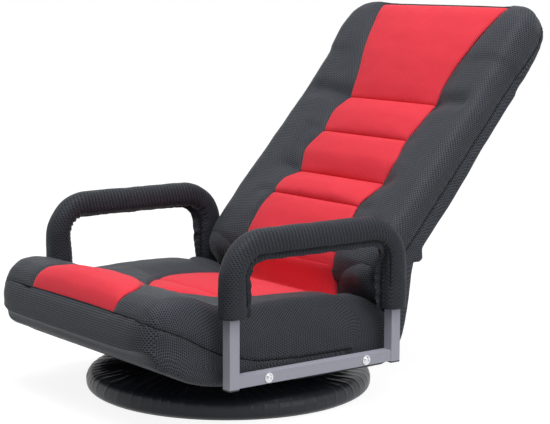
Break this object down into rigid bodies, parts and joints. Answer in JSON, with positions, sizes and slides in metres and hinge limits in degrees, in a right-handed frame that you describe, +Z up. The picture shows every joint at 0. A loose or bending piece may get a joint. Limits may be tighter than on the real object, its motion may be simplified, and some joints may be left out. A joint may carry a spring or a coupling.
{
  "type": "swivel floor chair",
  "caption": "Low padded floor chair on a covered swivel ring base, with a reclining panelled back and padded U-shaped armrests on square steel tube.",
  "frame": {"origin": "on the floor at the middle of the base ring, on the swivel axis", "axes": "+Z up along the swivel axis, +Y from the seat towards the back, so the chair faces -Y; +X is the sitter's left"},
  "size_m": [0.6168, 0.925, 0.7102],
  "materials": {
    "rubber": "matte",
    "ring_steel": "satin black paint",
    "leatherette": "soft gloss, gathered",
    "zinc": "bright zinc plate",
    "frame_steel": "satin black paint",
    "cage_plastic": "moulded",
    "arm_steel": "grey powder coat",
    "plug_plastic": "moulded black",
    "webbing": "elastic webbing",
    "black_mesh": "black spacer mesh",
    "red_mesh": "coral red mesh, fine ribs"
  },
  "bodies": {
    "base": {"non_slip_ring": "rubber", "base_ring": "ring_steel", "base_straps": "ring_steel", "base_cover": "leatherette", "base_cover_band": "leatherette", "base_bolts": "zinc", "base_nuts": "zinc", "swivel_lower_plate": "frame_steel", "swivel_rivet": "zinc"},
    "bearing": {"ball_cage": "cage_plastic", "bearing_balls": "zinc"},
    "seat": {"swivel_upper_plate": "frame_steel", "seat_bolts": "zinc", "seat_nuts": "zinc", "standoffs": "frame_steel", "seat_frame": "frame_steel", "seat_front_tube": "frame_steel", "seat_webbing": "webbing", "seat_tray": "black_mesh", "seat_pad": "black_mesh", "seat_panel_front": "red_mesh", "seat_panel_middle": "red_mesh", "seat_panel_rear": "red_mesh", "arm_frame_left": "arm_steel", "arm_frame_right": "arm_steel", "arm_pad_left": "black_mesh", "arm_pad_right": "black_mesh", "post_plugs": "plug_plastic", "arm_bolts": "zinc", "arm_washers": "zinc", "arm_spacers": "frame_steel", "arm_inserts": "frame_steel", "hinge_plate_left": "frame_steel", "hinge_plate_right": "frame_steel", "hinge_pins": "zinc", "pawl_left": "zinc", "pawl_right": "zinc", "pawl_pins": "zinc", "pawl_springs": "zinc", "waist_cover": "black_mesh", "crease_panel": "red_mesh"},
    "back": {"hinge_gear_left": "zinc", "hinge_gear_right": "zinc", "back_frame": "frame_steel", "back_webbing": "webbing", "back_shell": "black_mesh", "back_pad": "black_mesh", "back_panel_head": "red_mesh", "back_panel_upper": "red_mesh", "back_panel_middle": "red_mesh", "back_panel_lumbar": "red_mesh", "back_panel_lower": "red_mesh"}
  },
  "joints": [
    {"name": "swivel", "type": "hinge", "parent": "base", "child": "seat", "pos_m": [0, 0, 0.0525], "axis": [0, 0, 1], "continuous": true},
    {"name": "bearing_turn", "type": "hinge", "parent": "base", "child": "bearing", "pos_m": [0, 0, 0.0525], "axis": [0, 0, 1], "continuous": true},
    {"name": "recline", "type": "hinge", "parent": "seat", "child": "back", "pos_m": [0, 0.145, 0.12], "axis": [1, 0, 0], "range_deg": [-48, 36], "deforming": ["waist_cover", "crease_panel"]}
  ],
  "couplings": [
    {"joint": "bearing_turn", "follows": "swivel", "ratio": 0.5}
  ]
}
